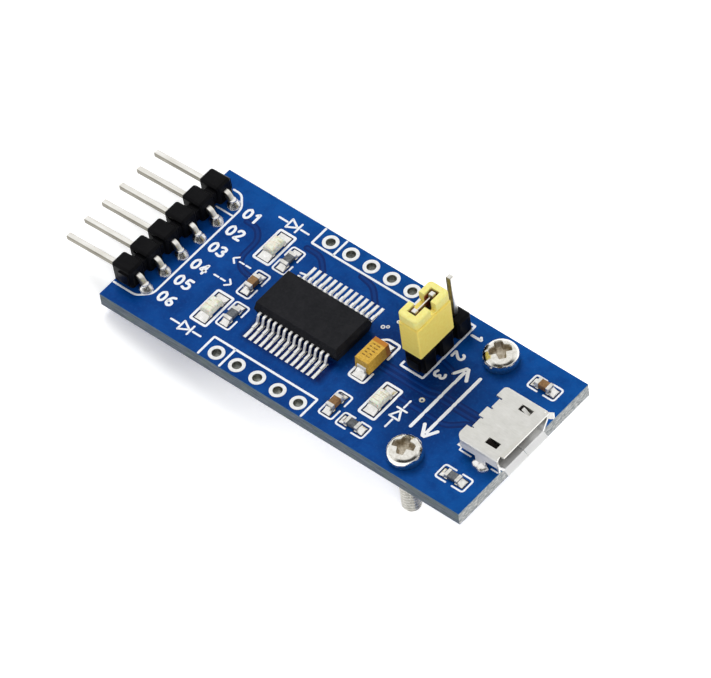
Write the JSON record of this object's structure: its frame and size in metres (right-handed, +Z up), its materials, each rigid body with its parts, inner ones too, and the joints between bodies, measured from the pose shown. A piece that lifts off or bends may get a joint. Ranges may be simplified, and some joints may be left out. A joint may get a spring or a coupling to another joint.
{
  "type": "usb to serial adapter module",
  "caption": "Small blue circuit board with a micro USB socket, a right-angle pin header, an interface chip, a jumper with shunt and two screws.",
  "frame": {"origin": "middle of the two rows of plated side holes, on the board's top face", "axes": "+X along the board from the pin header to the USB mouth, +Y across the board, +Z up out of the face that carries the parts"},
  "size_m": [0.0519, 0.0188, 0.0155],
  "materials": {
    "solder_mask": "satin",
    "tinned_copper": "satin",
    "pin_metal": "polished",
    "solder": "polished",
    "header_plastic": "satin",
    "chip_plastic": "matt",
    "tinned_leads": "satin",
    "terminal_tin": "satin",
    "resistor_black": "satin",
    "ceramic": "satin",
    "led_base": "matt",
    "led_lens": "gloss",
    "tantalum_yellow": "satin",
    "shunt_plastic": "satin",
    "clip_metal": "satin",
    "shell_steel": "satin",
    "socket_plastic": "satin",
    "contact_gold": "polished",
    "screw_nickel": "polished"
  },
  "bodies": {
    "root": {"chip_leads_back": "tinned_leads", "chip_leads_front": "tinned_leads", "chip_pads": "tinned_copper", "circuit_board": "solder_mask", "component_pads": "tinned_copper", "header_body": "header_plastic", "header_pin_1": "pin_metal", "header_pin_2": "pin_metal", "header_pin_3": "pin_metal", "header_pin_4": "pin_metal", "header_pin_5": "pin_metal", "header_pin_6": "pin_metal", "header_solder": "solder", "interface_chip_body": "chip_plastic", "jumper_header_body": "header_plastic", "jumper_pin_1": "pin_metal", "jumper_pin_2": "pin_metal", "jumper_pin_3": "pin_metal", "jumper_solder": "solder", "plated_holes_back": "tinned_copper", "plated_holes_front": "tinned_copper", "port_capacitor_body": "ceramic", "port_capacitor_terminals": "terminal_tin", "port_resistor_body": "resistor_black", "port_resistor_terminals": "terminal_tin", "power_capacitor_body": "ceramic", "power_capacitor_terminals": "terminal_tin", "power_led_base": "led_base", "power_led_lens": "led_lens", "power_led_terminals": "terminal_tin", "power_resistor_body": "resistor_black", "power_resistor_terminals": "terminal_tin", "receive_led_base": "led_base", "receive_led_lens": "led_lens", "receive_led_terminals": "terminal_tin", "receive_resistor_body": "resistor_black", "receive_resistor_terminals": "terminal_tin", "regulator_capacitor_body": "ceramic", "regulator_capacitor_terminals": "terminal_tin", "screw_back": "screw_nickel", "screw_front": "screw_nickel", "shunt_clip": "clip_metal", "shunt_housing": "shunt_plastic", "tantalum_body": "tantalum_yellow", "tantalum_tabs": "tinned_leads", "transmit_led_base": "led_base", "transmit_led_lens": "led_lens", "transmit_led_terminals": "terminal_tin", "transmit_resistor_body": "resistor_black", "transmit_resistor_terminals": "terminal_tin", "usb_contacts": "contact_gold", "usb_leg_solder": "solder", "usb_moulding": "socket_plastic", "usb_shell": "shell_steel"}
  },
  "joints": []
}
